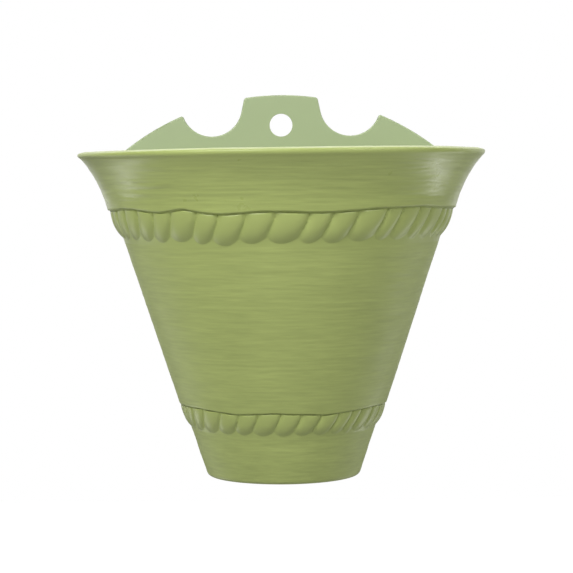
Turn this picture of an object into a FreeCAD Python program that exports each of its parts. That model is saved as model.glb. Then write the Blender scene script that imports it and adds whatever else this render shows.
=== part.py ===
"""Half-round planter that hangs flat on a wall: bowl, back plate, lift-out grate and drain plugs.

The wall is the plane y = 0, the bowl reaches towards -Y, and +Z is up.
The origin is where the axis of the hanging hole meets the wall.
Each piece is drawn with z counted up from the underside of the foot, and is then lowered into place.
"""

import FreeCAD, Part
import math
import os
import Sketcher

# Driving dimensions, in millimetres, degrees and counts
SIZES = {
    # Outside of the bowl, from the foot up
    "base_radius": 46.9,
    "base_round": 3.0,
    "lower_wall_height": 30.9,
    "lower_wall_radius": 57.2,
    "lower_band_height": 11.7,
    "cone_foot_radius": 63.3,
    "cone_height": 102.7,
    "cone_top_radius": 96.9,
    "upper_band_height": 18.7,
    "collar_foot_radius": 106.6,
    "collar_height": 36.0,
    "collar_curve": 82.0,
    "rim_radius": 125.0,
    # Rolled lip
    "lip_width": 5.2,
    "lip_nose": 2.2,
    "lip_height": 4.8,
    "lip_undercut": 3.2,
    "lip_inner_depth": 3.0,
    "lip_softening": 0.9,
    # Wall, floor and foot
    "wall": 3.0,
    "floor_thickness": 3.0,
    "foot_height": 5.0,
    "foot_width": 5.2,
    "collar_inner_rise": 8.0,
    # Rope bands
    "upper_step": 3.4,
    "upper_strands": 20.0,
    "upper_strand_half_length": 15.5,
    "upper_strand_half_width": 8.7,
    "upper_strand_relief": 3.9,
    "upper_strand_bite": 2.6,
    "upper_strand_drop": 6.5,
    "upper_strand_lean": 27.0,
    "upper_strand_end_gap": 1.0,
    "lower_step": 2.2,
    "lower_strands": 16.0,
    "lower_strand_half_length": 8.8,
    "lower_strand_half_width": 6.7,
    "lower_strand_relief": 2.7,
    "lower_strand_bite": 2.2,
    "lower_strand_drop": 4.4,
    "lower_strand_lean": 27.0,
    "lower_strand_end_gap": 0.6,
    # Seat that the back plate is welded to
    "seat_width": 5.0,
    "seat_thickness": 2.5,
    "seat_bite": 1.4,
    "sill_height": 4.0,
    # Back plate and its crest
    "plate_thickness": 3.0,
    "plate_gap": 0.3,
    "plate_shoulder_drop": 1.0,
    "crest_height": 34.1,
    "crest_curve": 155.0,
    "crest_softening": 0.8,
    "hanging_hole_radius": 7.0,
    "hanging_hole_height": 15.7,
    "notch_radius": 18.6,
    "notch_offset": 42.5,
    "notch_height": 27.6,
    "notch_side_lean": 12.0,
    "notch_tip_round": 1.4,
    "crest_corner_round": 2.2,
    # Drain holes and their plugs
    "drain_hole_radius": 5.0,
    "drain_circle_radius": 25.0,
    "drain_spread": 58.0,
    "plug_gap": 0.05,
    "plug_stem_above_floor": 1.6,
    "plug_stem_softening": 0.8,
    "plug_head_radius": 8.0,
    "plug_head_thickness": 1.8,
    "plug_tab_length": 9.0,
    "plug_tab_thickness": 1.8,
    "plug_tab_depth": 2.4,
    # Lift-out grate
    "grate_lift": 20.0,
    "grate_thickness": 2.2,
    "grate_wall_gap": 1.5,
    "grate_back_gap": 1.2,
    "grate_leg_radius": 2.6,
    "grate_leg_inset": 8.0,
    "grate_front_leg_spread": 29.0,
    "grate_rear_leg_spread": 73.0,
    "grate_hole_radius": 2.4,
    "grate_inner_row_radius": 20.0,
    "grate_inner_row_holes": 5.0,
    "grate_inner_row_sweep": 112.0,
    "grate_outer_row_radius": 45.5,
    "grate_outer_row_holes": 10.0,
    "grate_outer_row_sweep": 140.0,
    "grate_middle_row_radius": 32.0,
    "grate_middle_row_holes": 7.0,
    "grate_middle_row_sweep": 124.0,
    "fin_width": 22.0,
    "fin_height": 14.0,
    "fin_thickness": 2.6,
    "fin_setback": 11.0,
    "fin_corner_round": 5.0,
    "fin_root_round": 1.0,
    # How far a cutting shape runs past what it cuts
    "overrun": 10.0,
}

SHEET = "sizes"
DRAIN_SIDES = {"left": -1, "centre": 0, "right": 1}

# Two lengths that differ by less than this count as the same when edges are picked
SAME_LENGTH = 1e-3


class Size:
    """A length, angle or count: its number, and the formula over the sheet's cells that gives it."""

    def __init__(self, number, formula):
        self.number = number
        self.formula = formula

    def joined(self, sign, other, number):
        return Size(number, f"({self.formula} {sign} {formula_of(other)})")

    def __add__(self, other):
        return self.joined("+", other, self.number + number_of(other))

    def __sub__(self, other):
        return self.joined("-", other, self.number - number_of(other))

    def __mul__(self, other):
        return self.joined("*", other, self.number * number_of(other))

    def __truediv__(self, other):
        return self.joined("/", other, self.number / number_of(other))

    def __neg__(self):
        return Size(-self.number, f"(-{self.formula})")

    def __rsub__(self, other):
        return -self + other

    __radd__ = __add__
    __rmul__ = __mul__


def number_of(value):
    return value.number if isinstance(value, Size) else value


def formula_of(value):
    return value.formula if isinstance(value, Size) else repr(value)


FULL_TURN = Size(360, "360")
HALF_TURN = FULL_TURN / 2


def sine(angle):
    return Size(math.sin(math.radians(number_of(angle))), f"sin({formula_of(angle)} * 1 deg)")


def cosine(angle):
    return Size(math.cos(math.radians(number_of(angle))), f"cos({formula_of(angle)} * 1 deg)")


def slope_angle(run, rise):
    angle = math.degrees(math.atan(run.number / rise.number))
    return Size(angle, f"(atan({run.formula} / {rise.formula}) / 1 deg)")


def arc_sine(value):
    return Size(math.degrees(math.asin(value.number)), f"(asin({value.formula}) / 1 deg)")


def square_root(value):
    return Size(math.sqrt(value.number), f"sqrt({value.formula})")


def between(low, high, share):
    """The value that lies at a share of the way from low to high."""
    return low + (high - low) * share


class Sheet:
    """Gives each driving dimension as an attribute, such as s.wall, bound to its cell."""

    def __init__(self, document):
        cells = document.addObject("Spreadsheet::Sheet", SHEET)
        for row, (name, number) in enumerate(SIZES.items(), start=1):
            cells.set(f"A{row}", name)
            cells.set(f"B{row}", str(number))
            cells.setAlias(f"B{row}", name)
            setattr(self, name, Size(number, f"{SHEET}.{name}"))
        document.recompute()


def bind(feature, **values):
    """Binds properties of a feature to formulas over the sheet."""
    for name, value in values.items():
        feature.setExpression(name, formula_of(value))


def origin_plane(body, role):
    return next(item for item in body.Origin.OriginFeatures if item.Role == role)


def new_body(document, label):
    body = document.addObject("PartDesign::Body", label)
    body.Label = label
    return body


def new_sketch(body, name, role, shift=None):
    """An empty sketch on one of the body's origin planes, moved along that plane's normal by shift."""
    sketch = body.newObject("Sketcher::SketchObject", name)
    sketch.AttachmentSupport = [(origin_plane(body, role), "")]
    sketch.MapMode = "FlatFace"
    if shift is not None:
        bind(sketch, **{"AttachmentOffset.Base.z": shift})
    return sketch


def hold(sketch, geometry, end, place):
    """Holds one point of a sketch's geometry at a place given by two sizes."""
    for kind, value, axis in (("DistanceX", place[0], -2), ("DistanceY", place[1], -1)):
        number = number_of(value)
        if number == 0:
            sketch.addConstraint(Sketcher.Constraint("PointOnObject", geometry, end, axis))
            continue
        if number > 0:
            index = sketch.addConstraint(Sketcher.Constraint(kind, -1, 1, geometry, end, number))
            formula = formula_of(value)
        else:
            index = sketch.addConstraint(Sketcher.Constraint(kind, geometry, end, -1, 1, -number))
            formula = formula_of(-value)
        sketch.setExpression(f"Constraints[{index}]", formula)


def flat_point(place):
    return FreeCAD.Vector(number_of(place[0]), number_of(place[1]), 0)


def draw_outline(sketch, corners):
    """Draws a closed outline. Each corner is (x, y) with a line to the next corner, or
    (x, y, radius, side) with an arc to it, which bulges to the left for side 1 and to the right for -1."""
    ends = []
    for here, there in zip(corners, corners[1:] + corners[:1]):
        start, finish = flat_point(here), flat_point(there)
        if len(here) == 2:
            geometry = sketch.addGeometry(Part.LineSegment(start, finish))
            ends.append((geometry, 1, 2))
            continue
        radius, side = here[2], here[3]
        along = finish - start
        half = along.Length / 2
        rise = radius.number - math.sqrt(radius.number**2 - half**2)
        left = FreeCAD.Vector(-along.y, along.x, 0).normalize()
        arc = Part.Arc(start, start + along / 2 + left * (rise * side), finish)
        geometry = sketch.addGeometry(arc)
        ends.append((geometry, 2, 1) if side > 0 else (geometry, 1, 2))
        index = sketch.addConstraint(Sketcher.Constraint("Radius", geometry, radius.number))
        sketch.setExpression(f"Constraints[{index}]", radius.formula)
    for place, this, after in zip(corners, ends, ends[1:] + ends[:1]):
        sketch.addConstraint(Sketcher.Constraint("Coincident", this[0], this[2], after[0], after[1]))
        hold(sketch, this[0], this[1], place)


def draw_box(sketch, low, high):
    draw_outline(sketch, [low, (high[0], low[1]), high, (low[0], high[1])])


def draw_circle(sketch, place, radius):
    circle = Part.Circle(flat_point(place), FreeCAD.Vector(0, 0, 1), radius.number)
    geometry = sketch.addGeometry(circle)
    centre = 3
    hold(sketch, geometry, centre, place)
    index = sketch.addConstraint(Sketcher.Constraint("Radius", geometry, radius.number))
    sketch.setExpression(f"Constraints[{index}]", radius.formula)


def profile_feature(body, kind, name, sketch, backwards=False, **values):
    """A feature made from a sketch, such as a pad, pocket, revolution or groove."""
    feature = body.newObject(f"PartDesign::{kind}", name)
    feature.Profile = sketch
    feature.Reversed = backwards
    if kind in ("Revolution", "Groove"):
        feature.ReferenceAxis = (sketch, ["V_Axis"])
    bind(feature, **values)
    body.Tip = feature
    return feature


def mirrored(body, name, features):
    """Repeats features on the other side of the plane x = 0."""
    mirror = body.newObject("PartDesign::Mirrored", name)
    mirror.Originals = features
    mirror.MirrorPlane = (origin_plane(body, "YZ_Plane"), [""])
    body.Tip = mirror
    return mirror


def round_edges(body, name, test, radius):
    """Rounds those edges of the body so far that pass a test."""
    body.Document.recompute()
    base = body.Tip
    names = [f"Edge{i}" for i, edge in enumerate(base.Shape.Edges, start=1) if test(edge)]
    if not names:
        raise RuntimeError(f"{name} finds no edge to round")
    rounded = body.newObject("PartDesign::Fillet", name)
    rounded.Base = (base, names)
    bind(rounded, Radius=radius)
    body.Tip = rounded


def close(one, other):
    return abs(one - number_of(other)) < SAME_LENGTH


class Bowl:
    """Heights and radii that the bowl, its back plate, the grate and the plugs share."""

    def __init__(self, s):
        self.floor_under = s.foot_height
        self.floor_top = s.foot_height + s.floor_thickness
        self.lower_band = s.lower_wall_height
        self.cone_foot = self.lower_band + s.lower_band_height
        self.cone_top = self.cone_foot + s.cone_height
        self.collar_foot = self.cone_top + s.upper_band_height
        self.rim = self.collar_foot + s.collar_height
        self.lower_seat_radius = s.cone_foot_radius - s.lower_step
        self.upper_seat_radius = s.collar_foot_radius - s.upper_step
        self.lip_inner_radius = s.rim_radius - s.lip_width
        self.inner_collar_curve = s.collar_curve + s.wall
        self.floor_radius = self.lower_inner_radius(s, self.floor_top)
        self.hanging_hole = self.rim + s.hanging_hole_height

    def lower_inner_radius(self, s, height):
        """Inside radius of the wall below the lower rope band."""
        share = height / s.lower_wall_height
        return between(s.base_radius, s.lower_wall_radius, share) - s.wall

    def inside(self, s, inset=0):
        """Corners of the inside of the wall from the floor to the collar's foot, moved in by inset."""
        return [
            (self.floor_radius - inset, self.floor_top),
            (s.lower_wall_radius - s.wall - inset, self.lower_band),
            (self.lower_seat_radius - s.wall - inset, self.cone_foot),
            (s.cone_top_radius - s.wall - inset, self.cone_top),
            (self.upper_seat_radius - s.wall - inset, self.collar_foot),
        ]

    def inside_collar(self, s, inset=0):
        """Corners of the inside of the collar and lip, moved in by inset."""
        return [
            (
                s.collar_foot_radius - s.wall - inset,
                self.collar_foot + s.collar_inner_rise,
                self.inner_collar_curve,
                1,
            ),
            (self.lip_inner_radius - inset, self.rim - s.lip_inner_depth),
        ]


def add_rope_band(body, s, name, top, foot):
    """Fuses a row of slanted rope strands to the bowl. top and foot are the (radius, height) of the
    wall at the two ends of the band. Each strand is an ellipsoid that bites into the wall but not
    through it, and the end strands stop short of the flat back."""

    def own(key):
        return getattr(s, f"{name}_{key}")

    half_length, half_width, lean = own("strand_half_length"), own("strand_half_width"), own("strand_lean")
    half_depth = (own("strand_relief") + own("strand_bite")) / 2
    stand_off = own("strand_relief") - half_depth
    wall_slope = slope_angle(top[0] - foot[0], top[1] - foot[1])
    drop = own("strand_drop")
    seat_radius = between(top[0], foot[0], drop / (top[1] - foot[1]))
    radius = seat_radius + stand_off * cosine(wall_slope)
    height = top[1] - drop - stand_off * sine(wall_slope)
    long_reach = half_length * sine(lean)
    wide_reach = half_width * cosine(lean)
    reach = square_root(long_reach * long_reach + wide_reach * wide_reach)
    last = HALF_TURN / 2 - arc_sine((reach + own("strand_end_gap")) / radius)
    strand = body.newObject("PartDesign::AdditiveEllipsoid", f"{name}_strand")
    strand.AttachmentSupport = [(origin_plane(body, "XY_Plane"), "")]
    strand.MapMode = "FlatFace"
    strand.Angle1, strand.Angle2, strand.Angle3 = -90, 90, 360
    strand.Refine = False
    bind(strand, Radius1=half_length, Radius2=half_width, Radius3=half_depth)
    centre = (-(radius * sine(last)), -(radius * cosine(last)), height)
    place = "; ".join(formula_of(value) for value in centre)
    turn = f"rotation({(-last).formula}; 0; {wall_slope.formula})"
    slant = f"rotation(0; {lean.formula}; 0)"
    strand.setExpression("AttachmentOffset", f"placement(vector({place}); {turn} * {slant})")
    pattern = body.newObject("PartDesign::PolarPattern", f"{name}_strands")
    pattern.Originals = [strand]
    pattern.Refine = False
    pattern.Axis = (origin_plane(body, "Z_Axis"), [""])
    bind(pattern, Angle=last * 2, Occurrences=own("strands"))
    body.Tip = pattern


def drain_place(s, side):
    angle = s.drain_spread * side
    return s.drain_circle_radius * sine(angle), -(s.drain_circle_radius * cosine(angle))


def build_front_shell(document, s, bowl):
    """The bowl: flared collar, two rope bands, floor with drain holes, and the seat for the back plate."""
    body = new_body(document, "front_shell")
    outside = new_sketch(body, "outside", "XZ_Plane")
    foot_inner_radius = s.base_radius - s.foot_width
    draw_outline(
        outside,
        [
            (0, bowl.floor_under),
            (foot_inner_radius, bowl.floor_under),
            (foot_inner_radius, 0),
            (s.base_radius, 0),
            (s.lower_wall_radius, bowl.lower_band),
            (bowl.lower_seat_radius, bowl.cone_foot),
            (s.cone_foot_radius, bowl.cone_foot),
            (s.cone_top_radius, bowl.cone_top),
            (bowl.upper_seat_radius, bowl.collar_foot),
            (s.collar_foot_radius, bowl.collar_foot, s.collar_curve, 1),
            (s.rim_radius - s.lip_undercut, bowl.rim - s.lip_height),
            (s.rim_radius, bowl.rim - s.lip_nose, s.lip_nose, -1),
            (s.rim_radius - s.lip_nose, bowl.rim),
            (0, bowl.rim),
        ],
    )
    profile_feature(body, "Revolution", "half_bowl", outside, backwards=True, Angle=HALF_TURN)
    round_edges(
        body,
        "base_edge",
        lambda edge: close(edge.BoundBox.ZMax, 0) and close(edge.BoundBox.XMax, s.base_radius),
        s.base_round,
    )
    hollow = new_sketch(body, "hollow", "XZ_Plane")
    draw_outline(
        hollow,
        [(0, bowl.floor_top)]
        + bowl.inside(s)
        + bowl.inside_collar(s)
        + [(bowl.lip_inner_radius, bowl.rim + s.overrun), (0, bowl.rim + s.overrun)],
    )
    profile_feature(body, "Groove", "cavity", hollow, backwards=True, Angle=HALF_TURN)
    seat = new_sketch(body, "plate_seat_outline", "XZ_Plane", shift=s.plate_thickness)
    wall_side = bowl.inside(s, inset=-s.seat_bite)
    free_side = bowl.inside(s, inset=s.seat_width)
    below_floor_top = bowl.floor_top - s.floor_thickness / 2
    sill_top = bowl.floor_top + s.sill_height
    draw_outline(
        seat,
        [(0, below_floor_top), (wall_side[0][0], below_floor_top)]
        + wall_side[1:]
        + free_side[:0:-1]
        + [(free_side[0][0], sill_top), (0, sill_top)],
    )
    seat_pad = profile_feature(body, "Pad", "plate_seat", seat, Length=s.seat_thickness)
    rear_foot = new_sketch(body, "rear_foot_outline", "XZ_Plane")
    foot_reach = foot_inner_radius + s.foot_width / 2
    draw_box(rear_foot, (0, 0), (foot_reach, below_floor_top))
    foot_pad = profile_feature(body, "Pad", "rear_foot", rear_foot, Length=s.plate_thickness)
    mirrored(body, "left_half_of_seat", [seat_pad, foot_pad])
    drains = new_sketch(body, "drain_holes_outline", "XY_Plane")
    for side in DRAIN_SIDES.values():
        draw_circle(drains, drain_place(s, side), s.drain_hole_radius)
    through_floor = bowl.floor_top + s.overrun
    profile_feature(body, "Pocket", "drain_holes", drains, backwards=True, Length=through_floor)
    round_edges(
        body,
        "lip_inner_edge",
        lambda edge: close(edge.BoundBox.ZMin, bowl.rim)
        and close(edge.BoundBox.XMax, bowl.lip_inner_radius),
        s.lip_softening,
    )
    collar_seat = (bowl.upper_seat_radius, bowl.collar_foot)
    add_rope_band(body, s, "upper", collar_seat, (s.cone_top_radius, bowl.cone_top))
    cone_seat = (bowl.lower_seat_radius, bowl.cone_foot)
    add_rope_band(body, s, "lower", cone_seat, (s.lower_wall_radius, bowl.lower_band))
    return body


def build_back_plate(document, s, bowl):
    """The flat back with its arched crest, two round notches and the hanging hole."""
    body = new_body(document, "back_plate")
    half = new_sketch(body, "half_outline", "XZ_Plane")
    shoulder = bowl.rim - s.plate_shoulder_drop
    top = bowl.rim + s.crest_height
    crest_centre = top - s.crest_curve
    crest_reach = square_root(
        s.crest_curve * s.crest_curve - (shoulder - crest_centre) * (shoulder - crest_centre)
    )
    draw_outline(
        half,
        [(0, bowl.floor_top)]
        + bowl.inside(s, inset=s.plate_gap)
        + bowl.inside_collar(s, inset=s.plate_gap)
        + [
            (bowl.lip_inner_radius - s.plate_gap, shoulder),
            (crest_reach, shoulder, s.crest_curve, -1),
            (0, top),
        ],
    )
    pad = profile_feature(body, "Pad", "right_half", half, Length=s.plate_thickness)
    notch = new_sketch(body, "notch_outline", "XZ_Plane")
    centre_height = bowl.rim + s.notch_height
    lean = s.notch_side_lean
    side_foot = (
        s.notch_offset - s.notch_radius * cosine(lean),
        centre_height - s.notch_radius * sine(lean),
    )
    above = top + s.overrun
    side_top = side_foot[0] - (above - side_foot[1]) * sine(lean) / cosine(lean)
    draw_outline(
        notch,
        [
            (s.notch_offset, centre_height - s.notch_radius, s.notch_radius, -1),
            (s.notch_offset + s.notch_radius, centre_height),
            (s.notch_offset + s.notch_radius, above),
            (side_top, above),
            (side_foot[0], side_foot[1], s.notch_radius, -1),
        ],
    )
    pocket = profile_feature(body, "Pocket", "right_notch", notch, backwards=True, Length=s.plate_thickness)
    mirrored(body, "left_half", [pad, pocket])
    hole = new_sketch(body, "hanging_hole_outline", "XZ_Plane")
    draw_circle(hole, (0, bowl.hanging_hole), s.hanging_hole_radius)
    profile_feature(body, "Pocket", "hanging_hole", hole, backwards=True, Length=s.plate_thickness)

    def is_upright_corner(edge):
        box = edge.BoundBox
        above_notch = box.ZMin > (centre_height - s.notch_radius).number
        return above_notch and close(box.YLength, s.plate_thickness) and close(box.XLength, 0)

    def is_tip(edge):
        return is_upright_corner(edge) and abs(edge.BoundBox.XMin) > s.notch_offset.number

    def is_crest_corner(edge):
        reach = abs(edge.BoundBox.XMin)
        return is_upright_corner(edge) and s.hanging_hole_radius.number < reach < side_foot[0].number

    def is_crest_rim(edge):
        box = edge.BoundBox
        in_hole = close(box.XMax, s.hanging_hole_radius) and close(box.XMin, -s.hanging_hole_radius)
        on_shoulder = close(box.ZMax, shoulder)
        above_shoulder = box.ZMin > shoulder.number - SAME_LENGTH and not on_shoulder
        return close(box.YLength, 0) and above_shoulder and not in_hole

    round_edges(body, "notch_tips", is_tip, s.notch_tip_round)
    round_edges(body, "crest_corners", is_crest_corner, s.crest_corner_round)
    round_edges(body, "crest_edges", is_crest_rim, s.crest_softening)
    return body


def build_drain_plug(document, s, bowl, name, side):
    """A push-in plug: stem through the floor, head under it, and a tab to pull it by."""
    body = new_body(document, name)
    profile = new_sketch(body, "profile", "XZ_Plane")
    stem_radius = s.drain_hole_radius - s.plug_gap
    head_under = bowl.floor_under - s.plug_head_thickness
    stem_top = bowl.floor_top + s.plug_stem_above_floor
    draw_outline(
        profile,
        [
            (0, head_under),
            (s.plug_head_radius, head_under),
            (s.plug_head_radius, bowl.floor_under),
            (stem_radius, bowl.floor_under),
            (stem_radius, stem_top - s.plug_stem_softening),
            (stem_radius - s.plug_stem_softening, stem_top),
            (0, stem_top),
        ],
    )
    profile_feature(body, "Revolution", "head_and_stem", profile, Angle=FULL_TURN)
    tab = new_sketch(body, "tab_outline", "XZ_Plane", shift=-s.plug_tab_thickness / 2)
    reach = s.plug_tab_length / 2
    inside_head = head_under + s.plug_head_thickness / 2
    tab_foot = head_under - s.plug_tab_depth
    draw_box(tab, (-reach, tab_foot), (reach, inside_head))
    profile_feature(body, "Pad", "pull_tab", tab, Length=s.plug_tab_thickness)
    place = drain_place(s, side)
    bind(body, **{"Placement.Base.x": place[0], "Placement.Base.y": place[1]})
    return body


def build_drainage_grate(document, s, bowl):
    """A perforated half-round shelf on four legs, with a fin to lift it by."""
    body = new_body(document, "drainage_grate")
    under = bowl.floor_top + s.grate_lift
    top = under + s.grate_thickness
    radius = bowl.lower_inner_radius(s, under) - s.grate_wall_gap
    back = s.plate_thickness + s.seat_thickness + s.grate_back_gap
    half_back = square_root(radius * radius - back * back)
    shelf = new_sketch(body, "shelf_outline", "XY_Plane", shift=under)
    draw_outline(shelf, [(-half_back, -back, radius, -1), (0, -radius, radius, -1), (half_back, -back)])
    profile_feature(body, "Pad", "shelf", shelf, Length=s.grate_thickness)
    legs = new_sketch(body, "legs_outline", "XY_Plane", shift=bowl.floor_top)
    leg_circle = bowl.floor_radius - s.grate_leg_inset
    for spread in (s.grate_front_leg_spread, s.grate_rear_leg_spread):
        for side in (-1, 1):
            place = leg_circle * sine(spread * side), -(leg_circle * cosine(spread))
            draw_circle(legs, place, s.grate_leg_radius)
    profile_feature(body, "Pad", "legs", legs, Length=s.grate_lift + s.grate_thickness / 2)
    fin = new_sketch(body, "fin_outline", "XZ_Plane", shift=s.fin_setback)
    reach = s.fin_width / 2
    inside_shelf = under + s.grate_thickness / 2
    fin_top = top + s.fin_height
    draw_box(fin, (-reach, inside_shelf), (reach, fin_top))
    profile_feature(body, "Pad", "lifting_fin", fin, Length=s.fin_thickness)
    round_edges(
        body,
        "fin_corners",
        lambda edge: close(edge.BoundBox.ZMin, fin_top) and close(edge.BoundBox.YLength, s.fin_thickness),
        s.fin_corner_round,
    )
    round_edges(
        body,
        "fin_root",
        lambda edge: close(edge.BoundBox.ZMin, top)
        and close(edge.BoundBox.ZMax, top)
        and close(edge.BoundBox.XLength, s.fin_width),
        s.fin_root_round,
    )
    holes = new_sketch(body, "perforation_outline", "XY_Plane", shift=under)
    for row in ("inner", "middle", "outer"):
        ring = getattr(s, f"grate_{row}_row_radius")
        count = int(getattr(s, f"grate_{row}_row_holes").number)
        sweep = getattr(s, f"grate_{row}_row_sweep")
        for index in range(count):
            angle = sweep * (index / (count - 1)) - sweep / 2
            place = ring * sine(angle), -(ring * cosine(angle))
            draw_circle(holes, place, s.grate_hole_radius)
    profile_feature(body, "Pocket", "perforations", holes, backwards=True, Length=s.grate_thickness)
    return body


def check(document, bodies):
    """Stops the script if any object failed to compute or a piece isn't a sound solid."""
    for item in document.Objects:
        if {"Invalid", "Error", "Touched"} & set(item.State):
            raise RuntimeError(f"{item.Name} is {item.State}")
    for body in bodies:
        shape = body.Shape
        if shape.isNull() or not shape.isValid() or len(shape.Solids) != 1:
            raise RuntimeError(f"{body.Label} isn't one sound solid")


def main():
    document = FreeCAD.newDocument("wall_planter")
    s = Sheet(document)
    bowl = Bowl(s)
    bodies = [
        build_front_shell(document, s, bowl),
        build_back_plate(document, s, bowl),
        build_drainage_grate(document, s, bowl),
    ]
    for name, side in DRAIN_SIDES.items():
        bodies.append(build_drain_plug(document, s, bowl, f"drain_plug_{name}", side))
    for body in bodies:
        bind(body, **{"Placement.Base.z": -bowl.hanging_hole})
    document.recompute()
    check(document, bodies)
    os.makedirs("parts", exist_ok=True)
    for body in bodies:
        body.Shape.exportStep(f"parts/{body.Label}.step")
        box = body.Shape.BoundBox
        print(
            f"{body.Label}: {body.Shape.Volume:.0f} mm3, {len(body.Shape.Faces)} faces,"
            f" x {box.XMin:.2f} to {box.XMax:.2f}, y {box.YMin:.2f} to {box.YMax:.2f},"
            f" z {box.ZMin:.2f} to {box.ZMax:.2f}"
        )


main()
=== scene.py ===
"""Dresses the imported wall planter: a modelled bowl, moulded-plastic materials and plain studio light."""

import math
from typing import NamedTuple

import bmesh
import bpy
import numpy as np
from mathutils import Matrix, Vector


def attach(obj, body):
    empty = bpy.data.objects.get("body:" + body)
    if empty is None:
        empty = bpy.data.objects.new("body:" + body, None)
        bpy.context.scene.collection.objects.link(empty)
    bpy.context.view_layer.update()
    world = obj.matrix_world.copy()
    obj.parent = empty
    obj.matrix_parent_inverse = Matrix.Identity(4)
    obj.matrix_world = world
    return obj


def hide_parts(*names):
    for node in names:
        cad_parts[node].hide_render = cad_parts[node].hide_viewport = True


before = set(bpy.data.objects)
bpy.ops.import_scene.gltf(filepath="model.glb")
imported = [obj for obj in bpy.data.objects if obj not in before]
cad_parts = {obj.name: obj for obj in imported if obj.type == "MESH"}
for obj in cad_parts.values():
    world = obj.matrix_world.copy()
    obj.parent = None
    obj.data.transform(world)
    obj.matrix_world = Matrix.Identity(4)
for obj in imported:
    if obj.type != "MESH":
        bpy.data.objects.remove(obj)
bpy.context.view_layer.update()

MM = 0.001

# The bowl's profile, in millimetres as (radius, height). Heights count up from the foot's underside.
HOLE_HEIGHT = 215.7
BASE_RADIUS = 46.9
BASE_ROUND = 3.0
FOOT_INNER_RADIUS = 41.7
FOOT_HEIGHT = 5.0
FOOT_ROUND = 0.6
RECESS_ROUND = 0.8
FLOOR_TOP = 8.0
LOWER_WALL = (57.2, 30.9)
LOWER_SEAT = (61.7, 44.6)
CONE_FOOT = (63.9, 44.6)
CONE_EDGE_ROUND = 0.5
CONE_TOP = (96.9, 145.3)
UPPER_SEAT = (103.2, 164.0)
COLLAR_FOOT = (106.6, 164.0)
COLLAR_EDGE_ROUND = 0.7
COLLAR_TOP = (122.3, 195.0)
COLLAR_CURVE = 78.0
LIP_NOSE = (124.95, 197.8)
LIP_SHOULDER = (123.7, 199.2)
LIP_TOP = (121.2, 199.9)
LIP_INNER = (119.9, 198.2)
# What pulls the lip's curves out: on the way up to its nose, over its shoulder and down inside
NOSE_PULL = ((123.26, 196.15), (124.95, 196.6))
SHOULDER_PULL = ((124.95, 198.6), (124.5, 198.97))
INNER_PULL = ((120.7, 200.04), (119.9, 199.6))

# The inside of the bowl
WALL = 3.0
LOWER_SEAT_BACKING = (61.1, 44.6)
LOWER_BEND_DROP = 2.0
INNER_COLLAR_HEIGHT = 172.0
INNER_COLLAR_TOP = (119.8, 197.0)
# The corner between wall and floor, as (out, up) from where their faces would meet
FLOOR_CORNER = ((0.5, 1.5), (0.35, 0.7), (-0.2, 0.15), (-1.0, 0.0), (-4.0, 0.0))
HUB_RADIUS = 5.0

# What holds the back plate, and the drain holes in the floor
PLATE_THICKNESS = 3.0
SEAT_WIDTH = 5.0
SEAT_THICKNESS = 2.5
SEAT_BITE = 1.4
SILL_HEIGHT = 4.0
REAR_FOOT_BITE = 2.6
DRAIN_RADIUS = 5.0
DRAIN_CIRCLE = 25.0
DRAIN_SPREAD = 58.0
DRAIN_SIDES = 48
DRILL_HEIGHTS = (2.0, 11.0)

# Facets round the half circle, and distances between the rows of points along the profile
COLUMNS = 480
RECESS_STEP = 1.5
BASE_STEP = 0.5
LOWER_WALL_STEP = 0.7
CONE_STEP = 0.75
COLLAR_STEP = 0.6
LIP_STEP = 0.6
ROPE_STEP = 0.36
# The rope's rows are closer together where it tucks in under the crease
TUCK_STEP = 0.18
TUCK_HEIGHT = 2.0
EDGE_POINTS = 6
NOSE_POINTS, SHOULDER_POINTS, INNER_POINTS = 9, 6, 7
INNER_COLLAR_STEP = 1.6
INNER_STEP = 3.5
FLOOR_STEP = 8.0

# The rope bands. Places round the bowl are in degrees from its front.
# The grooves between the strands, where they cross the middle of the band
UPPER_GROOVES = [
    -95.0, -86.5, -78.5, -72.0, -64.6, -56.2, -47.8, -39.9, -29.9, -22.4, -13.2,
    -3.8, 6.9, 14.5, 23.2, 33.8, 40.3, 49.0, 55.7, 65.1, 70.7, 78.4, 86.0, 95.0,
]
LOWER_GROOVES = [
    -96.0, -84.5, -73.5, -63.2, -52.6, -39.5, -27.5, -16.3, -3.5,
    7.8, 19.0, 29.9, 39.4, 46.5, 57.8, 68.5, 79.0, 89.0, 99.0,
]
# How far the crease above the rope wanders up, in millimetres
UPPER_CREASE = [
    (-90, 0.0), (-72, 0.9), (-62, 2.2), (-54, 1.9), (-48, 1.0), (-42, 0.3), (-37, 1.4), (-32, 2.6),
    (-27, 0.9), (-23, 0.0), (-19, -0.5), (-14, 0.1), (-10, 0.7), (-6, 1.2), (1, 1.0), (5, 0.8),
    (9, 0.4), (13, 0.4), (17, 0.5), (21, 1.1), (26, 1.5), (30, 2.3), (35, 2.4), (40, 2.5),
    (45, 2.7), (51, 2.9), (59, 2.1), (68, 1.5), (90, 0.2),
]
LOWER_CREASE = [
    (-90, 0.3), (-65, 1.1), (-51, 1.1), (-41, 0.5), (-33, -0.2), (-25, -0.8), (-18, -0.3), (-11, 0.1),
    (-4, 0.5), (2, 0.0), (9, -0.3), (16, -0.5), (23, -1.2), (30, -0.6), (39, 0.0), (48, 0.5),
    (59, 1.0), (90, 0.2),
]
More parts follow.
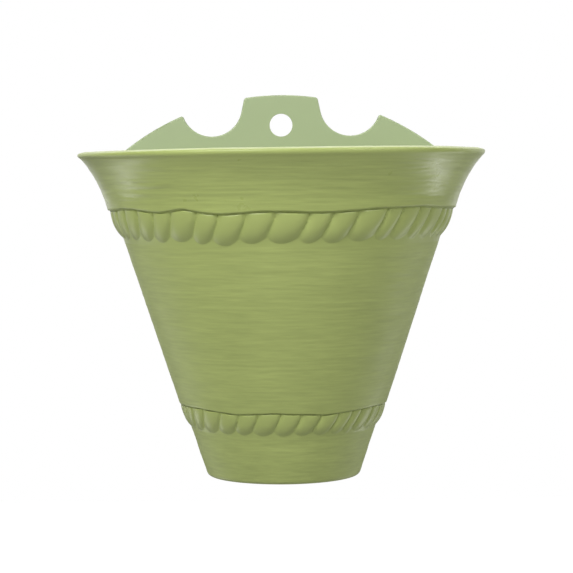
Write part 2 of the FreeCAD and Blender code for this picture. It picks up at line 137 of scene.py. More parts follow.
# How far each strand's foot hangs below the band's foot, in millimetres
UPPER_FEET = [
    (-75, -1.2), (-64, -1.2), (-54, -0.6), (-45, 0.0), (-37, -1.1), (-28, 0.0), (-20, 1.6), (-10, 0.0),
    (-1, -0.1), (8, -0.3), (16, 0.2), (25, -0.6), (35, -1.2), (43, -1.1), (51, -1.4), (75, -1.2),
]
LOWER_FEET = [(-70, -0.6), (-40, 0.1), (-20, -0.3), (0, 0.2), (20, -0.2), (40, 0.1), (70, -0.7)]
# How full the strands are
STRAND_FULLNESS = [(-90, 1.0), (25, 1.0), (42, 0.8), (60, 0.72), (76, 0.85), (90, 1.0)]
# How far the lip's edge rises, in millimetres
LIP_RISE = [
    (-90, 0.0), (-70, 0.0), (-52, 0.3), (-38, 0.7), (-18, 1.2), (0, 1.3), (18, 1.6), (38, 1.8),
    (52, 1.6), (65, 1.2), (78, 1.1), (90, 1.0),
]
# The rise starts at this height and is complete this much higher
LIP_RISE_START = 194.5
LIP_RISE_REACH = 4.0

# The tables of creases and lip are read at this many places, and rounded over this many
TABLE_PLACES = 721
TABLE_ROUNDING = 25
# How far above and below a crease its wandering carries the rows along, in millimetres
CREASE_PULL = 15.0
# How far the wall goes out for each millimetre up
WALL_SLOPE = 0.33
# The grooves' slant, as a share of the band's height
ROPE_LEAN = 0.34
# Across a strand: its height in the grooves as a share of its full height, and how flat its top is
GROOVE_LEVEL = 0.15
STRAND_FLATNESS = 2.4
# At a strand's foot, as shares of the band: how far its corners draw up, and where it starts to round
FOOT_CORNER_DRAW = 0.20
FOOT_CORNER_POWER = 2.2
FOOT_ROUNDING = 0.58
FOOT_POWER = 2.1
# Under the crease: a strand's height right at it, what it gains over CREASE_EDGE millimetres, and the
# rest, which it gains over a share of the band
CREASE_LEVEL = 0.45
CREASE_EDGE_GAIN = 0.35
CREASE_EDGE = 1.1
CREASE_LATE_GAIN = 0.20
CREASE_LATE_SHARE = 0.3
# Narrow strands are less full, and wide ones a little fuller. A usual strand's half width is a share of
# the band's radius.
NARROW_FULLNESS = 0.80
WIDE_FULLNESS = 1.06
USUAL_HALF_WIDTH = 0.079
# Rows of the rope that reach onto the wall under it, and more that are softened with them
ROWS_UNDER_ROPE = 5
SOFTENED_ROWS = 3


class Rope(NamedTuple):
    """A rope band: its zone of the profile and the zone above it, the foot and top of its seat, its full
    relief in millimetres, where its strands end as a share of the band, and its tables."""

    zone: str
    zone_above: str
    foot: tuple
    top: tuple
    relief: float
    foot_level: float
    grooves: list
    crease: list
    feet: list


ROPES = (
    Rope(
        "upper_rope", "upper_ledge", CONE_TOP, UPPER_SEAT, 3.1, 0.95,
        UPPER_GROOVES, UPPER_CREASE, UPPER_FEET,
    ),
    Rope(
        "lower_rope", "lower_ledge", LOWER_WALL, LOWER_SEAT, 2.1, 1.02,
        LOWER_GROOVES, LOWER_CREASE, LOWER_FEET,
    ),
)

# Zones that show throwing rings: the zone after each, how deep the rings are there, and its roughness.
# The collar is glossier than the walls under it.
THROWN_ZONES = (
    ("lower_wall", "lower_rope", 0.75, 0.56),
    ("cone", "upper_rope", 0.8, 0.50),
    ("collar", "lip", 1.0, 0.31),
)
RING_FADE_ROWS = 6.0
# The rings are layers of noise: seed, height, length round the bowl, spacing up it, and the layer's start
RING_LAYERS = (
    (5, 0.075, 26, 1.25, 60),
    (6, 0.075, 38, 2.9, 80),
    (8, 0.035, 7, 1.1, 110),
    (7, 0.16, 60, 13, 90),
)
# How the rings wander up and down, in the same terms
WANDER_LAYERS = (
    (3, 0.9, 55, 30, 20),
    (4, 0.25, 14, 9, 40),
)

# Materials. Sizes in metres, colours in linear light.
SHELL_COLOUR = (0.366, 0.430, 0.138)
SHELL_ROUGHNESS = 0.38
PLATE_COLOUR = (0.352, 0.424, 0.241)
PLATE_ROUGHNESS = 0.40
GRATE_COLOUR = (0.160, 0.195, 0.068)
GRATE_ROUGHNESS = 0.5
PLUG_COLOUR = (0.055, 0.064, 0.034)
PLUG_ROUGHNESS = 0.62
PLASTIC_IOR = 1.46
CLOUDS_PER_METRE = 22.0
GLOSS_PATCHES_PER_METRE = 60.0
GLOSS_SPREAD = 0.05
GRAINS_PER_METRE = 1500.0
BUMP_DEPTH = 0.00012
BUMP_STRENGTH = 0.5
STREAK_STRENGTH = 0.1
# Where most of a noise texture's values lie
NOISE_SPAN = (0.25, 0.75)
# Streaks as (length round the bowl, height)
FINE_STREAK = (0.024, 0.0014)
BROAD_STREAK = (0.05, 0.006)
STREAK_RADIUS = 0.1

# Edges sharper than this many degrees stay crisp
BOWL_CRISP_ANGLE = 50
PLATE_CRISP_ANGLE = 16
MOULDED_CRISP_ANGLE = 30

# Lamps: name, place, width, height and watts. All are aimed at the middle of the bowl.
LAMP_TARGET = (0, -0.05, -0.1)
LAMPS = (
    ("key", (-0.4, -0.75, 0.45), 0.6, 0.6, 9.2),
    ("fill", (0.5, -0.5, 0.25), 0.4, 0.4, 2.1),
    ("left_edge", (-1.05, 0.60, -0.80), 0.2, 0.6, 1.7),
    ("right_edge", (1.05, 0.60, -0.80), 0.2, 0.6, 1.9),
    ("overhead_rear", (0, 0.85, 0.62), 1.2, 0.4, 2.4),
    ("overhead", (0, -0.1, 0.9), 0.5, 0.5, 1.5),
)

FLOOR_LEVEL = -1.2
FLOOR_REACH = 6.0
FLOOR_COLOUR = (0.78, 0.78, 0.77, 1)
FLOOR_ROUGHNESS = 0.9
FLOOR_GLOW = 0.8
WHITE = (1, 1, 1, 1)

# The backdrop is white behind the planter and dimmer in front, turning over this span of direction
ROOM_LIGHT = 0.15
BACKDROP_LIGHT = 1.0
BACKDROP_SPAN = (0.30, 0.60)

# Camera: level with the rim and in front of it, looking slightly down. Angles in degrees.
IMAGE_SIDE = 573
FOCAL_PIXELS = 2083.0
SENSOR_WIDTH = 36.0
EYE = (0.0, -1.285, -0.0257)
PITCH, YAW, ROLL = 3.283, 0.1155, 0.45
NEAREST = 0.01


def lerp(a, b, share):
    return a + (b - a) * share


def smooth_step(x):
    x = np.clip(x, 0.0, 1.0)
    return x * x * (3 - 2 * x)


def read_table(table, degrees):
    return np.interp(degrees, *zip(*table))


class Noise:
    """Smooth random values over a plane, the same on every run."""

    SIZE = 257

    def __init__(self, seed):
        self.values = np.random.default_rng(seed).uniform(-1, 1, (self.SIZE, self.SIZE))

    def at(self, x, y):
        x, y = np.broadcast_arrays(x, y)
        column, row = np.floor(x).astype(int), np.floor(y).astype(int)
        across, up = smooth_step(x - column), smooth_step(y - row)
        left, right = column % self.SIZE, (column + 1) % self.SIZE
        near, far = row % self.SIZE, (row + 1) % self.SIZE
        low = lerp(self.values[near, left], self.values[near, right], across)
        high = lerp(self.values[far, left], self.values[far, right], across)
        return lerp(low, high, up)


def layered_noise(layers, arc, level):
    total = 0
    for seed, height, length, spacing, start in layers:
        total = total + height * Noise(seed).at(arc / length + start, level / spacing)
    return total


def line_points(start, end, spacing):
    """Points from start up to but not including end."""
    count = max(1, round(math.dist(start, end) / spacing))
    return [(lerp(start[0], end[0], i / count), lerp(start[1], end[1], i / count)) for i in range(count)]


def turn_points(centre, radius, start, end, spacing):
    """Points round a centre, from start up to but not including end."""
    first = math.atan2(start[1] - centre[1], start[0] - centre[0])
    sweep = math.atan2(end[1] - centre[1], end[0] - centre[0]) - first
    sweep = (sweep + math.pi) % (2 * math.pi) - math.pi
    count = max(2, round(abs(sweep) * radius / spacing))
    angles = [first + sweep * i / count for i in range(count)]
    return [(centre[0] + radius * math.cos(a), centre[1] + radius * math.sin(a)) for a in angles]


def arc_points(start, end, radius, spacing):
    """Points from start up to but not including end, on an arc that bulges to the left."""
    half = math.dist(start, end) / 2
    along = np.subtract(end, start) / (2 * half)
    left = np.array((-along[1], along[0]))
    centre = np.add(start, end) / 2 - left * math.sqrt(radius**2 - half**2)
    return turn_points(centre, radius, start, end, spacing)


def curve_points(start, pull, end, count):
    """Points on a Bezier curve from start up to but not including end, with two points that pull it."""
    corners = (start, *pull, end)
    points = []
    for share in np.linspace(0, 1, count, endpoint=False):
        rest = 1 - share
        weights = (rest**3, 3 * share * rest**2, 3 * share**2 * rest, share**3)
        points.append(tuple(sum(w * p[axis] for w, p in zip(weights, corners)) for axis in (0, 1)))
    return points


def rope_seat_points(foot, top):
    """Points up a rope's seat, closer together near its top."""
    close_from = tuple(lerp(np.array(foot), np.array(top), 1 - TUCK_HEIGHT / (top[1] - foot[1])))
    return line_points(foot, close_from, ROPE_STEP) + line_points(close_from, top, TUCK_STEP)


def ledge_points(seat, edge, beyond, rounding):
    """The small step from a rope's seat out to the edge above it, with that edge rounded."""
    up = np.subtract(beyond, edge)
    up = up / np.hypot(*up)
    corner = np.array(edge)
    start, end = corner - (rounding, 0), corner + up * rounding
    steps = [tuple(lerp(np.array(seat), start, 0.5))]
    for share in np.linspace(0, 1, EDGE_POINTS):
        low, high = lerp(start, corner, share), lerp(corner, end, share)
        steps.append(tuple(lerp(low, high, share)))
    return steps


def outer_profile():
    """Points up the outside of the bowl as (radius, height), with the marks of where each zone starts."""
    wall = np.subtract(LOWER_WALL, (BASE_RADIUS, 0))
    wall = wall / np.hypot(*wall)
    out = np.array((wall[1], -wall[0]))
    centre = (BASE_RADIUS - BASE_ROUND * (1 + out[1]) / out[0], BASE_ROUND)
    wall_start = tuple(np.add(centre, out * BASE_ROUND))
    points, marks = [], {}

    def add(name, more):
        marks[name] = len(points)
        points.extend(more)

    recess_top, recess_foot = (FOOT_INNER_RADIUS, FOOT_HEIGHT), (FOOT_INNER_RADIUS, FOOT_ROUND)
    add("recess", line_points(recess_top, recess_foot, RECESS_STEP))
    add("foot", [(FOOT_INNER_RADIUS + FOOT_ROUND / 4, FOOT_ROUND / 4), (FOOT_INNER_RADIUS + FOOT_ROUND, 0)])
    add("base", turn_points(centre, BASE_ROUND, (centre[0], 0), wall_start, BASE_STEP))
    add("lower_wall", line_points(wall_start, LOWER_WALL, LOWER_WALL_STEP))
    add("lower_rope", rope_seat_points(LOWER_WALL, LOWER_SEAT))
    add("lower_ledge", ledge_points(LOWER_SEAT, CONE_FOOT, CONE_TOP, CONE_EDGE_ROUND))
    add("cone", line_points(points[-1], CONE_TOP, CONE_STEP)[1:])
    add("upper_rope", rope_seat_points(CONE_TOP, UPPER_SEAT))
    add("upper_ledge", ledge_points(UPPER_SEAT, COLLAR_FOOT, COLLAR_TOP, COLLAR_EDGE_ROUND))
    add("collar", arc_points(points[-1], COLLAR_TOP, COLLAR_CURVE, COLLAR_STEP)[1:])
    lip = curve_points(COLLAR_TOP, NOSE_PULL, LIP_NOSE, NOSE_POINTS)
    lip += curve_points(LIP_NOSE, SHOULDER_PULL, LIP_SHOULDER, SHOULDER_POINTS)
    lip += line_points(LIP_SHOULDER, LIP_TOP, LIP_STEP)
    lip += curve_points(LIP_TOP, INNER_PULL, LIP_INNER, INNER_POINTS)
    add("lip", lip + [LIP_INNER])
    return points, marks


def floor_radius():
    """Radius of the inside where it meets the floor."""
    return lerp(BASE_RADIUS, LOWER_WALL[0], FLOOR_TOP / LOWER_WALL[1]) - WALL


def inner_profile():
    """Points down the inside of the bowl, from the lip to the hub of the floor."""
    corner = [(floor_radius() + out, FLOOR_TOP + up) for out, up in FLOOR_CORNER]
    collar_foot = (COLLAR_FOOT[0] - WALL, INNER_COLLAR_HEIGHT)
    bends = [
        collar_foot,
        (UPPER_SEAT[0] - WALL, UPPER_SEAT[1]),
        (CONE_TOP[0] - WALL, CONE_TOP[1]),
        (LOWER_SEAT_BACKING[0] - WALL, LOWER_SEAT_BACKING[1] - LOWER_BEND_DROP),
        (LOWER_WALL[0] - WALL, LOWER_WALL[1]),
        corner[0],
    ]
    points = arc_points(collar_foot, INNER_COLLAR_TOP, COLLAR_CURVE + WALL, INNER_COLLAR_STEP)[::-1]
    for start, end in zip(bends, bends[1:]):
        points += line_points(start, end, INNER_STEP)
    points += corner[1:-1]
    points += line_points(corner[-1], (HUB_RADIUS, FLOOR_TOP), FLOOR_STEP)
    return points


def smooth_table(table, degrees):
    """A table's values with its corners rounded."""
    fine = np.linspace(-90, 90, TABLE_PLACES)
    kernel = np.hanning(TABLE_ROUNDING)
    padded = np.pad(read_table(table, fine), len(kernel) // 2, mode="edge")
    return np.interp(degrees, fine, np.convolve(padded, kernel / kernel.sum(), mode="valid"))


def rope_relief(rope, degrees, depth):
    """Height of a rope over its seat. degrees is a row of places round the bowl, and depth a column of
    shares of the band, from 0 at the crease to 1 at the band's foot."""
    band = rope.top[1] - rope.foot[1]
    radius = (rope.top[0] + rope.foot[0]) / 2
    grooves = np.array(rope.grooves)
    lean = np.degrees(ROPE_LEAN * band / radius)
    heights = np.zeros((len(depth), len(degrees)))
    for row, t in enumerate(depth):
        lines = grooves + lean * (0.5 - smooth_step(t))
        strand = np.clip(np.searchsorted(lines, degrees) - 1, 0, len(lines) - 2)
        left, right = lines[strand], lines[strand + 1]
        middle = (grooves[strand] + grooves[strand + 1]) / 2
        across = np.abs(np.clip(2 * (degrees - left) / (right - left) - 1, -1, 1))
        round_top = np.sqrt(np.maximum(0, 1 - across**STRAND_FLATNESS))
        pillow = GROOVE_LEVEL + (1 - GROOVE_LEVEL) * round_top
        foot = rope.foot_level + read_table(rope.feet, middle) / band
        foot = foot - FOOT_CORNER_DRAW * across**FOOT_CORNER_POWER
        foot_fall = 1 - (1 - np.clip((foot - t) / FOOT_ROUNDING, 0, 1)) ** FOOT_POWER
        edge = np.sqrt(1 - (1 - np.clip(t * band / CREASE_EDGE, 0, 1)) ** 2)
        late = np.sin(math.pi / 2 * np.clip(t / CREASE_LATE_SHARE, 0, 1))
        crease_fall = CREASE_LEVEL + CREASE_EDGE_GAIN * edge + CREASE_LATE_GAIN * late
        width_share = np.radians(right - left) / 2 / USUAL_HALF_WIDTH
        fullness = NARROW_FULLNESS + (1 - NARROW_FULLNESS) * width_share
        fullness = np.clip(fullness, NARROW_FULLNESS, WIDE_FULLNESS) * read_table(STRAND_FULLNESS, middle)
        heights[row] = rope.relief * fullness * pillow * foot_fall * crease_fall
    return heights


def soften(grid):
    """Rounds a grid of heights a little, as a mould's creases are rounded."""
    padded = np.pad(grid, 1, mode="edge")
    around = padded[:-2, 1:-1] + padded[2:, 1:-1] + padded[1:-1, :-2] + padded[1:-1, 2:]
    return (grid * 4 + around) / 8


def ring_weights(marks, rows):
    """How deep the throwing rings are on each row. They fade out at both ends of a zone."""
    weights = np.zeros(rows)
    for name, after, depth, _ in THROWN_ZONES:
        span = np.arange(marks[name], marks[after])
        ends = np.minimum(span - span[0], span[-1] - span)
        weights[span] = depth * smooth_step(ends / RING_FADE_ROWS)
    return weights


def shape_outside(base, marks, degrees):
    """Radius and height of each point of the outside, with a row for each point of the profile base."""
    radius = np.repeat(base[:, :1], len(degrees), axis=1)
    height = np.repeat(base[:, 1:], len(degrees), axis=1)
    push = np.zeros_like(radius)
    for rope in ROPES:
        # The crease wanders, and carries the rows near it along
        near = smooth_step(1 - np.abs(base[:, 1] - rope.top[1]) / CREASE_PULL)
        shift = near[:, None] * smooth_table(rope.crease, degrees)[None, :]
        height += shift
        radius += shift * WALL_SLOPE
        first, last = marks[rope.zone] - ROWS_UNDER_ROPE, marks[rope.zone_above] + 1
        depth = (rope.top[1] - base[first:last, 1]) / (rope.top[1] - rope.foot[1])
        push[first:last] = rope_relief(rope, degrees, depth)
        push[first - SOFTENED_ROWS : last] = soften(push[first - SOFTENED_ROWS : last])

    arc = np.radians(degrees)[None, :] * radius
    level = height + layered_noise(WANDER_LAYERS, arc, height)
    push += layered_noise(RING_LAYERS, arc, level) * ring_weights(marks, len(base))[:, None]

    along = np.gradient(base, axis=0)
    along /= np.hypot(along[:, 0], along[:, 1])[:, None]
    radius += push * along[:, 1:]
    height -= push * along[:, :1]
    return radius, height


def build_bowl_mesh():
    """The bowl as one closed mesh, with the number of each face's finish: 0 for the smooth plastic, and
    from 1 up for the thrown zones in turn."""
    outer, marks = outer_profile()
    inner = inner_profile()
    under_floor_end = (FOOT_INNER_RADIUS - RECESS_ROUND, FOOT_HEIGHT)
    under_floor = line_points((HUB_RADIUS, FOOT_HEIGHT), under_floor_end, FLOOR_STEP)
    degrees = np.linspace(-90, 90, COLUMNS + 1)

    # Rows run up the outside, over the lip, down the inside and out again under the floor
    radius, height = shape_outside(np.array(outer), marks, degrees)
    plain = np.array(inner + under_floor)
    radius = np.vstack((radius, np.repeat(plain[:, :1], len(degrees), axis=1)))
    height = np.vstack((height, np.repeat(plain[:, 1:], len(degrees), axis=1)))
    lift = smooth_step((height - LIP_RISE_START) / LIP_RISE_REACH)
    height += lift * smooth_table(LIP_RISE, degrees)[None, :]
    turn = np.radians(degrees)[None, :]
    x = radius * np.sin(turn)
    y = -radius * np.cos(turn)
    # Both ends lie in the wall plane, so nothing bulges behind it
    y[:, 0] = 0
    y[:, -1] = 0
    rows, columns = x.shape
    vertices = np.stack((x, y, height - HOLE_HEIGHT), axis=-1).reshape(-1, 3) * MM

    # The floor's rows end at a hub, which two points on the axis close above and below
    hub_top, hub_under = len(outer) + len(inner) - 1, len(outer) + len(inner)
    axis_top, axis_under = len(vertices), len(vertices) + 1
    axis_points = [(0, 0, (level - HOLE_HEIGHT) * MM) for level in (FLOOR_TOP, FOOT_HEIGHT)]
    vertices = np.vstack((vertices, axis_points))
    index = np.arange(rows * columns).reshape(rows, columns)
    quads = np.stack((index[:-1, :-1], index[:-1, 1:], index[1:, 1:], index[1:, :-1]), axis=-1)
    faces = np.delete(quads, hub_top, axis=0).reshape(-1, 4).tolist()
    faces += [(index[hub_top, i], index[hub_top, i + 1], axis_top) for i in range(columns - 1)]
    faces += [(index[hub_under, i + 1], index[hub_under, i], axis_under) for i in range(columns - 1)]
    faces += np.stack((index[-1, :-1], index[-1, 1:], index[0, 1:], index[0, :-1]), axis=-1).tolist()

    # One face in the wall plane, round the cut through wall and floor
    left, right = index[:, 0].tolist(), index[:, -1].tolist()
    rear = left[: hub_top + 1] + [axis_top] + right[: hub_top + 1][::-1]
    rear += right[hub_under:][::-1] + [axis_under] + left[hub_under:]
    faces.append(rear)

    finish = np.zeros(len(faces), dtype=np.int32)
    for number, (name, after, _, _) in enumerate(THROWN_ZONES, 1):
        finish[marks[name] * (columns - 1) : (marks[after] - 1) * (columns - 1)] = number
    return vertices, faces, finish


def add_bar(vertices, faces, outline, near, far):
    """Adds a closed bar whose outline lies in the plane of the wall."""
    first, count = len(vertices), len(outline)
    for y in (near, far):
        vertices.extend((x * MM, y * MM, (height - HOLE_HEIGHT) * MM) for x, height in outline)
    faces.append([first + i for i in range(count)][::-1])
    faces.append([first + count + i for i in range(count)])
    for i in range(count):
        j = (i + 1) % count
        faces.append([first + i, first + j, first + count + j, first + count + i])


def plate_seat():
    """The flange that the back plate rests on, the sill along the floor and the rear foot."""
    wall_line = [LOWER_WALL, LOWER_SEAT_BACKING, CONE_TOP, UPPER_SEAT]
    wall_line = [(radius - WALL, height) for radius, height in wall_line]
    below, sill_top = FLOOR_TOP - WALL / 2, FLOOR_TOP + SILL_HEIGHT
    right = [(floor_radius(), below)]
    right += [(radius + SEAT_BITE, height) for radius, height in wall_line]
    right += [(radius - SEAT_WIDTH, height) for radius, height in wall_line[::-1]]
    right += [(floor_radius() - SEAT_WIDTH, sill_top), (0, sill_top), (0, below)]
    left = [(-x, height) for x, height in right][::-1]
    vertices, faces = [], []
    for outline in (right, left):
        add_bar(vertices, faces, outline[::-1], -PLATE_THICKNESS - SEAT_THICKNESS, -PLATE_THICKNESS)
    reach = FOOT_INNER_RADIUS + REAR_FOOT_BITE
    rear_foot = [(-reach, 0), (-reach, below), (reach, below), (reach, 0)]
    add_bar(vertices, faces, rear_foot, -PLATE_THICKNESS, 0)
    return vertices, faces


def shade(mesh, crisp_angle):
    """Smooth shading, with edges sharper than crisp_angle degrees kept crisp."""
    mesh.polygons.foreach_set("use_smooth", [True] * len(mesh.polygons))
    mesh.set_sharp_from_angle(angle=math.radians(crisp_angle))


def mesh_object(name, vertices, faces, crisp_angle=MOULDED_CRISP_ANGLE):
    mesh = bpy.data.meshes.new(name)
    mesh.from_pydata([tuple(v) for v in vertices], [], faces)
    mesh.validate()
    work = bmesh.new()
    work.from_mesh(mesh)
    bmesh.ops.recalc_face_normals(work, faces=work.faces)
    work.to_mesh(mesh)
    work.free()
    shade(mesh, crisp_angle)
    obj = bpy.data.objects.new(name, mesh)
    bpy.context.scene.collection.objects.link(obj)
    return obj


def combine(obj, other, operation):
    modifier = obj.modifiers.new(other.name, "BOOLEAN")
    modifier.object = other
    modifier.operation = operation
    modifier.solver = "MANIFOLD"


def settle(obj, others):
    """Turns an object's modifiers into its mesh, and removes the other objects that they used."""
    bpy.context.view_layer.update()
    depsgraph = bpy.context.evaluated_depsgraph_get()
    evaluated = obj.evaluated_get(depsgraph)
    mesh = bpy.data.meshes.new_from_object(evaluated, preserve_all_data_layers=True, depsgraph=depsgraph)
    obj.modifiers.clear()
    obj.data = mesh
    mesh.name = obj.name
    for other in others:
        bpy.data.objects.remove(other)


def drain_drill(side):
    """A round bar through the floor, where a drain hole goes."""
    turn = math.radians(side * DRAIN_SPREAD)
    x, y = DRAIN_CIRCLE * math.sin(turn), -DRAIN_CIRCLE * math.cos(turn)
    angles = np.linspace(0, 2 * math.pi, DRAIN_SIDES, endpoint=False)
    ring = [(x + DRAIN_RADIUS * math.cos(a), y + DRAIN_RADIUS * math.sin(a)) for a in angles]
    vertices = [(px * MM, py * MM, (h - HOLE_HEIGHT) * MM) for h in DRILL_HEIGHTS for px, py in ring]
    count = DRAIN_SIDES
    faces = [list(range(count))[::-1], list(range(count, 2 * count))]
    faces += [[i, (i + 1) % count, count + (i + 1) % count, count + i] for i in range(count)]
    return mesh_object(f"drill{side}", vertices, faces)


class Nodes:
    """Short calls for building the nodes of a material or a world."""

    def __init__(self, owner):
        owner.use_nodes = True
        self.tree = owner.node_tree

    def add(self, kind, links=None, **settings):
        node = self.tree.nodes.new(kind)
        for key, value in settings.items():
            if hasattr(node, key):
                setattr(node, key, value)
            else:
                node.inputs[key].default_value = value
        for socket, source in (links or {}).items():
            self.tree.links.new(source, node.inputs[socket])
        return node

    def calculate(self, operation, a, b):
        node = self.add("ShaderNodeMath", operation=operation)
        for socket, value in zip(node.inputs, (a, b)):
            if isinstance(value, (int, float)):
                socket.default_value = value
            else:
                self.tree.links.new(value, socket)
        return node.outputs[0]

    def object_place(self):
        return self.add("ShaderNodeTexCoord").outputs["Object"]

    def noise(self, place, scale, detail, roughness=0.5):
        settings = {"Scale": scale, "Detail": detail, "Roughness": roughness}
        return self.add("ShaderNodeTexNoise", {"Vector": place}, **settings).outputs["Fac"]

    def map_range(self, value, from_span, to_span, interpolation="LINEAR"):
        node = self.add("ShaderNodeMapRange", {"Value": value}, interpolation_type=interpolation)
        for side, span in (("From", from_span), ("To", to_span)):
            node.inputs[f"{side} Min"].default_value = span[0]
            node.inputs[f"{side} Max"].default_value = span[1]
        return node.outputs["Result"]

    def spread(self, value, middle, reach):
        """Stretches noise to middle plus and minus reach."""
        return self.map_range(value, NOISE_SPAN, (middle - reach, middle + reach))

    def streaks(self, size, detail, roughness=0.5):
        """Noise drawn out round the bowl, for a streak's length and height."""
        axes = self.add("ShaderNodeSeparateXYZ", {0: self.object_place()}).outputs
        turn = self.calculate("ARCTAN2", axes["X"], self.calculate("MULTIPLY", axes["Y"], -1.0))
        place = self.add(
            "ShaderNodeCombineXYZ",
            {
                "X": self.calculate("MULTIPLY", turn, STREAK_RADIUS / size[0]),
                "Y": self.calculate("DIVIDE", axes["Z"], size[1]),
            },
        )
        return self.noise(place.outputs[0], 1.0, detail, roughness)


def plastic(name, colour, roughness, mottle=0.03, streaks=0.0, grain=0.2):
    """Moulded plastic: faint clouds of colour, uneven gloss and a fine grain, and for a thrown look,
    streaks that run round the bowl."""
    material = bpy.data.materials.new(name)
    nodes = Nodes(material)
    shader = nodes.tree.nodes["Principled BSDF"]
    where = nodes.object_place()
    value = nodes.spread(nodes.noise(where, CLOUDS_PER_METRE, 3.0), 1, mottle)
    height = nodes.calculate("MULTIPLY", nodes.noise(where, GRAINS_PER_METRE, 2.0), grain)
    if streaks:
        fine = nodes.streaks(FINE_STREAK, 3.0, 0.6)
        broad = nodes.streaks(BROAD_STREAK, 2.0)
        value = nodes.calculate("MULTIPLY", value, nodes.spread(fine, 1, streaks))
        value = nodes.calculate("MULTIPLY", value, nodes.spread(broad, 1, streaks / 2))
        height = nodes.calculate("ADD", height, fine)
    tint = nodes.add("ShaderNodeHueSaturation", {"Value": value}, Color=(*colour, 1))
    nodes.tree.links.new(tint.outputs[0], shader.inputs["Base Color"])
    gloss = nodes.noise(where, GLOSS_PATCHES_PER_METRE, 4.0)
    nodes.tree.links.new(nodes.spread(gloss, roughness, GLOSS_SPREAD), shader.inputs["Roughness"])
    bump = nodes.add("ShaderNodeBump", {"Height": height}, Strength=BUMP_STRENGTH, Distance=BUMP_DEPTH)
    nodes.tree.links.new(bump.outputs[0], shader.inputs["Normal"])
    shader.inputs["IOR"].default_value = PLASTIC_IOR
    return material


def build_bowl():
    vertices, faces, finish = build_bowl_mesh()
    bowl = mesh_object("thrown_bowl", vertices, faces, BOWL_CRISP_ANGLE)
    bowl.data.materials.append(plastic("shell_smooth_plastic", SHELL_COLOUR, SHELL_ROUGHNESS))
    for name, _, _, roughness in THROWN_ZONES:
        thrown = plastic(f"shell_{name}_plastic", SHELL_COLOUR, roughness, streaks=STREAK_STRENGTH)
        bowl.data.materials.append(thrown)
    bowl.data.polygons.foreach_set("material_index", finish)
    drills = [drain_drill(side) for side in (-1, 0, 1)]
    for drill in drills:
        combine(bowl, drill, "DIFFERENCE")
    settle(bowl, drills)
    seat = mesh_object("seat", *plate_seat())
    combine(bowl, seat, "UNION")
    settle(bowl, [seat])
    return bowl


def dress(piece, material, crisp_angle):
    """Gives a solid from the frame its material and shading. Its shape stays as it is."""
    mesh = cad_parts[piece].data
    mesh.materials.clear()
    mesh.materials.append(material)
    shade(mesh, crisp_angle)


def add_lamp(name, place, width, height, watts):
    light = bpy.data.lights.new(name, "AREA")
    light.shape = "RECTANGLE"
    light.size = width
    light.size_y = height
    light.energy = watts
    lamp = bpy.data.objects.new(name, light)
    bpy.context.scene.collection.objects.link(lamp)
    lamp.visible_camera = False
    lamp.location = place
    lamp.rotation_euler = (Vector(LAMP_TARGET) - Vector(place)).to_track_quat("-Z", "Y").to_euler()


def build_floor():
    """A pale floor, which the camera sees as white with the planter's shadow still on it."""
    square = ((-1, -1), (1, -1), (1, 1), (-1, 1))
    corners = [(x * FLOOR_REACH, y * FLOOR_REACH, FLOOR_LEVEL) for x, y in square]
    floor = mesh_object("floor", corners, [(0, 1, 2, 3)])
    material = bpy.data.materials.new("pale_floor")
    floor.data.materials.append(material)
    nodes = Nodes(material)
    shader = nodes.tree.nodes["Principled BSDF"]
    shader.inputs["Base Color"].default_value = FLOOR_COLOUR
    shader.inputs["Roughness"].default_value = FLOOR_ROUGHNESS
    shader.inputs["Emission Color"].default_value = WHITE
    camera_ray = nodes.add("ShaderNodeLightPath").outputs["Is Camera Ray"]
    glow = nodes.calculate("MULTIPLY", camera_ray, FLOOR_GLOW)
    nodes.tree.links.new(glow, shader.inputs["Emission Strength"])
    return floor


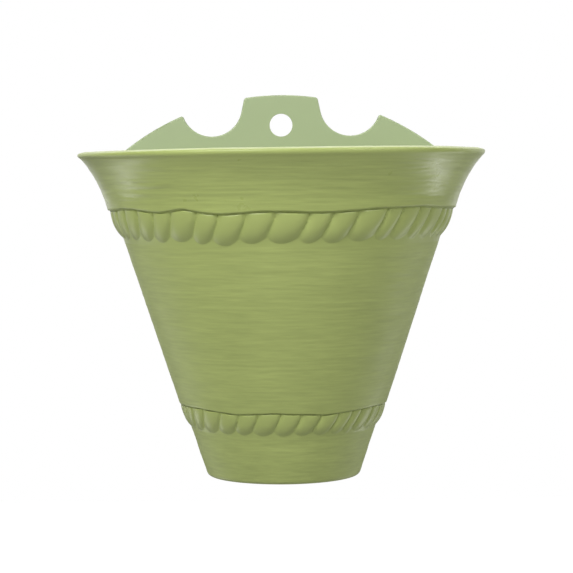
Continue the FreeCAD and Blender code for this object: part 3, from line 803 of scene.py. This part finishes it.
def build_backdrop():
    """White behind the planter and wherever the camera looks, and a dimmer room in front."""
    world = bpy.data.worlds.new("studio")
    bpy.context.scene.world = world
    nodes = Nodes(world)
    background = nodes.tree.nodes["Background"]
    background.inputs["Color"].default_value = WHITE
    heading = nodes.add("ShaderNodeTexCoord").outputs["Generated"]
    backward = nodes.add("ShaderNodeSeparateXYZ", {0: heading}).outputs["Y"]
    level = nodes.map_range(backward, BACKDROP_SPAN, (ROOM_LIGHT, BACKDROP_LIGHT), "SMOOTHSTEP")
    camera_ray = nodes.add("ShaderNodeLightPath").outputs["Is Camera Ray"]
    strength = nodes.calculate("MAXIMUM", level, camera_ray)
    nodes.tree.links.new(strength, background.inputs["Strength"])


def place_camera():
    optics = bpy.data.cameras.new("camera")
    optics.sensor_width = SENSOR_WIDTH
    optics.lens = FOCAL_PIXELS / IMAGE_SIDE * SENSOR_WIDTH
    optics.clip_start = NEAREST
    camera = bpy.data.objects.new("camera", optics)
    bpy.context.scene.collection.objects.link(camera)
    camera.matrix_world = (
        Matrix.Translation(EYE)
        @ Matrix.Rotation(math.radians(-YAW), 4, "Z")
        @ Matrix.Rotation(math.radians(90 - PITCH), 4, "X")
        @ Matrix.Rotation(math.radians(-ROLL), 4, "Z")
    )
    bpy.context.scene.camera = camera


bowl = build_bowl()
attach(bowl, "planter")
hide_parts("front_shell")

plate_plastic = plastic("plate_smooth_plastic", PLATE_COLOUR, PLATE_ROUGHNESS, mottle=0.02)
grate_plastic = plastic("grate_moulded_plastic", GRATE_COLOUR, GRATE_ROUGHNESS)
plug_rubber = plastic("plug_soft_rubber", PLUG_COLOUR, PLUG_ROUGHNESS, mottle=0.08, grain=0.6)
dress("back_plate", plate_plastic, PLATE_CRISP_ANGLE)
dress("drainage_grate", grate_plastic, MOULDED_CRISP_ANGLE)
for plug in ("drain_plug_left", "drain_plug_centre", "drain_plug_right"):
    dress(plug, plug_rubber, MOULDED_CRISP_ANGLE)

for lamp in LAMPS:
    add_lamp(*lamp)
build_floor()
build_backdrop()
place_camera()
bpy.context.scene.view_settings.view_transform = "Standard"
